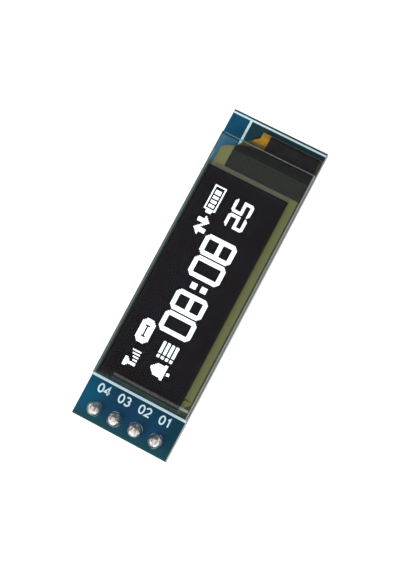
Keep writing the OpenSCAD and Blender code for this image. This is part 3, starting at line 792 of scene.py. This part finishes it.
def print_front():
    """The lines and pin numbers on the board's front."""
    bm = bmesh.new()
    low, high = BOARD_HIGH.z, BOARD_HIGH.z + INK
    near_x = BOARD_LOW.x + NEAR_LINE_AT
    far_x = BOARD_HIGH.x - FAR_LINE_AT
    far_width = 0.22 * MM
    for x, width in ((near_x, 0.3 * MM), (far_x, far_width)):
        add_ribbon(bm, [(x, BOARD_LOW.y + INK_MARGIN), (x, BOARD_HIGH.y - INK_MARGIN)], width, low, high)
    long_y = BOARD_HIGH.y - LONG_LINE_AT
    under_glass = 0.35 * MM
    ends = [(far_x - far_width / 2, long_y), (GLASS_HIGH.x - under_glass, long_y)]
    add_ribbon(bm, ends, 0.28 * MM, low, high)
    for n in range(1, PIN_COUNT + 1):
        y = centre_of(f"header_pin_{n}").y
        write_number(bm, f"0{n}", (BOARD_LOW.x + NUMBERS_AT, y), NUMBER_HEIGHT, low, high)
    add_piece("front_print", finished_mesh(bm, "front_print"), WHITE)


# ---------------------------------------------------------------- solder joints

# A mound's shape from its foot up: shares of its radius and of its height
MOUND_PROFILE = [(1.0, 0.0), (0.985, 0.1), (0.95, 0.22), (0.89, 0.36), (0.81, 0.5), (0.72, 0.63),
                 (0.62, 0.75), (0.52, 0.85), (0.42, 0.93), (0.33, 0.98), (0.24, 1.0)]
MOUND_HEIGHT = 0.85      # share of the plain joint's height
MOUND_SIDES = 40
MOUND_SEED = 40


def solder_mound(number):
    """A hand-soldered joint: a mound on the pad that climbs the pin, uneven all round."""
    rng = random.Random(MOUND_SEED + number)
    centre = centre_of(f"header_pin_{number}")
    low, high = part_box(f"solder_joint_{number}")
    base_z = BOARD_HIGH.z
    height = MOUND_HEIGHT * (high.z - base_z)
    radius = (high.x - low.x) / 2
    lean = Vector((rng.uniform(-0.05, 0.05), rng.uniform(-0.05, 0.05)))
    seed = Vector((rng.uniform(0, 50), rng.uniform(0, 50), 0))
    bm = bmesh.new()
    rings = []
    for share, level in MOUND_PROFILE:
        ring = []
        for i in range(MOUND_SIDES):
            angle = math.tau * i / MOUND_SIDES
            outward = Vector((math.cos(angle), math.sin(angle)))
            uneven = noise.noise(Vector((outward.x, outward.y, level * 1.5)) * 1.1 + seed)
            r = radius * min(1.0, share * (1 + 0.12 * uneven * (1 - 0.6 * abs(2 * level - 1))))
            x = centre.x + outward.x * r + lean.x * radius * level
            y = centre.y + outward.y * r + lean.y * radius * level
            rise = 1 + 0.05 * uneven if level < 1 else 1
            ring.append(bm.verts.new((x, y, base_z + level * height * rise)))
        rings.append(ring)
    for lower, upper in zip(rings, rings[1:]):
        for i in range(MOUND_SIDES):
            j = (i + 1) % MOUND_SIDES
            bm.faces.new((lower[i], lower[j], upper[j], upper[i]))
    bm.faces.new(rings[0][::-1])
    bm.faces.new(rings[-1])
    name = f"solder_mound_{number}"
    add_piece(name, finished_mesh(bm, name), SOLDER, True, [f"solder_joint_{number}"])


# ---------------------------------------------------------------- floor, light and camera

FLOOR_REACH = 1.5        # from the middle to each side
FLOOR_THICK = 0.004
FLOOR_GLOW = 0.6         # what the camera and reflections see on top of the floor's own tone


def make_floor():
    """A pale floor under the pins. The camera sees it as white, and it keeps the object's shadow."""
    bm = bmesh.new()
    outline = box_outline(-FLOOR_REACH, -FLOOR_REACH, FLOOR_REACH, FLOOR_REACH)
    add_prism(bm, outline, FLOOR_Z - FLOOR_THICK, FLOOR_Z)
    floor = bpy.data.objects.new("floor", finished_mesh(bm, "floor"))
    bpy.context.scene.collection.objects.link(floor)
    p = Paint("floor_white")
    cloth = p.principled(p.ramp(p.noise(0.02), [(0.3, 0.84), (0.7, 0.86)]), 0.8)
    glow = p.node("Emission")
    seen = seen_directly(p.tree)
    p.link(p.maths("MULTIPLY", seen, FLOOR_GLOW), glow.inputs["Strength"])
    both = p.node("AddShader")
    p.link(cloth, both.inputs[0])
    p.link(glow.outputs[0], both.inputs[1])
    floor.data.materials.append(p.done(both.outputs[0]))


def seen_directly(tree):
    """1 for camera, glossy and transmission rays, and 0 for the light that falls on things."""
    path = tree.nodes.new("ShaderNodeLightPath")
    total = path.outputs["Is Camera Ray"]
    for name in ("Is Glossy Ray", "Is Transmission Ray"):
        either = tree.nodes.new("ShaderNodeMath")
        either.operation = "MAXIMUM"
        tree.links.new(total, either.inputs[0])
        tree.links.new(path.outputs[name], either.inputs[1])
        total = either.outputs[0]
    return total


WORLD_LIGHT = 0.5        # the level at which the world lights things
WORLD_SEEN = 1.0         # the level at which the camera and reflections see it


def make_world():
    world = bpy.data.worlds.new("studio")
    world.use_nodes = True
    tree = world.node_tree
    back = tree.nodes["Background"]
    back.inputs["Color"].default_value = (1, 1, 1, 1)
    strength = tree.nodes.new("ShaderNodeMapRange")
    strength.inputs["To Min"].default_value = WORLD_LIGHT
    strength.inputs["To Max"].default_value = WORLD_SEEN
    tree.links.new(seen_directly(tree), strength.inputs["Value"])
    tree.links.new(strength.outputs["Result"], back.inputs["Strength"])
    bpy.context.scene.world = world


def add_softbox(name, place, size, power, target):
    light = bpy.data.lights.new(name, "AREA")
    light.shape = "RECTANGLE"
    light.size, light.size_y = size
    light.energy = power
    lamp = bpy.data.objects.new(name, light)
    lamp.location = place
    lamp.rotation_euler = (Vector(target) - Vector(place)).to_track_quat("-Z", "Y").to_euler()
    bpy.context.scene.collection.objects.link(lamp)


def make_lights():
    middle = (BOARD_LOW + BOARD_HIGH) / 2
    add_softbox("key", middle + Vector((-0.28, 0.2, 0.3)), (0.25, 0.25), 1.6, middle)
    add_softbox("fill", middle + Vector((0.3, -0.25, 0.35)), (0.35, 0.35), 0.7, middle)


FLAG_RADIUS = 0.12
FLAG_HEIGHT = 0.14
FLAG_THICK = 0.002
FLAG_FROM, FLAG_TO, FLAG_STEP = -75, 55, 10     # degrees round the header, from +X


def add_flag():
    """A black card round the far end and pin 1's side. Only reflections see it, to give metal contrast."""
    p = Paint("flag_black")
    felt = p.ramp(p.noise(0.05), [(0.3, 0.01), (0.7, 0.02)])
    black = p.done(p.principled(felt, 0.9, Specular_IOR_Level=0.0))
    middle = centre_of("header_strip")
    arc = arc_points(middle.x, middle.y, FLAG_RADIUS, FLAG_RADIUS, FLAG_FROM, FLAG_TO,
                     (FLAG_TO - FLAG_FROM) // FLAG_STEP)
    bm = bmesh.new()
    add_ribbon(bm, arc, FLAG_THICK, FLOOR_Z, FLOOR_Z + FLAG_HEIGHT)
    flag = bpy.data.objects.new("flag", finished_mesh(bm, "flag"))
    flag.data.materials.append(black)
    bpy.context.scene.collection.objects.link(flag)
    flag.visible_camera = False
    flag.visible_diffuse = False
    flag.visible_shadow = False
    flag.visible_transmission = False


CAMERA_DISTANCE = 0.15
LEAN_TO_HEADER = math.radians(6.28)
LEAN_TO_PIN_ONE = math.radians(8.2)
ROLL = math.radians(28.0)
LENS = 85.8
SENSOR = 36                 # millimetres, along the picture's longer side
CENTRE_OFFSET = (0.094 * MM, 0.328 * MM)   # the board's middle lies this far right of and above the view's


def make_camera():
    """Looks down on the board's middle, from a little over the header end and pin 1's side."""
    middle = Vector(((BOARD_LOW.x + BOARD_HIGH.x) / 2, (BOARD_LOW.y + BOARD_HIGH.y) / 2, BOARD_HIGH.z))
    back = Vector((-math.tan(LEAN_TO_HEADER), -math.tan(LEAN_TO_PIN_ONE), 1)).normalized()
    right = (-back).cross(Vector((math.cos(ROLL), math.sin(ROLL), 0))).normalized()
    up = right.cross(-back)
    aim = middle - right * CENTRE_OFFSET[0] - up * CENTRE_OFFSET[1]
    data = bpy.data.cameras.new("camera")
    data.lens = LENS
    data.sensor_width = SENSOR
    data.clip_start = 0.005
    data.clip_end = 10
    camera = bpy.data.objects.new("camera", data)
    turn = Matrix((right, up, back)).transposed().to_4x4()
    camera.matrix_world = Matrix.Translation(aim + back * CAMERA_DISTANCE) @ turn
    bpy.context.scene.collection.objects.link(camera)
    bpy.context.scene.camera = camera


bpy.context.scene.view_settings.view_transform = "Standard"
make_camera()
make_world()
make_lights()
make_floor()
add_flag()
finish_cad_nodes()
soften_edges()
separate_faces()
light_pixels()
print_front()
for pin in range(1, PIN_COUNT + 1):
    solder_mound(pin)
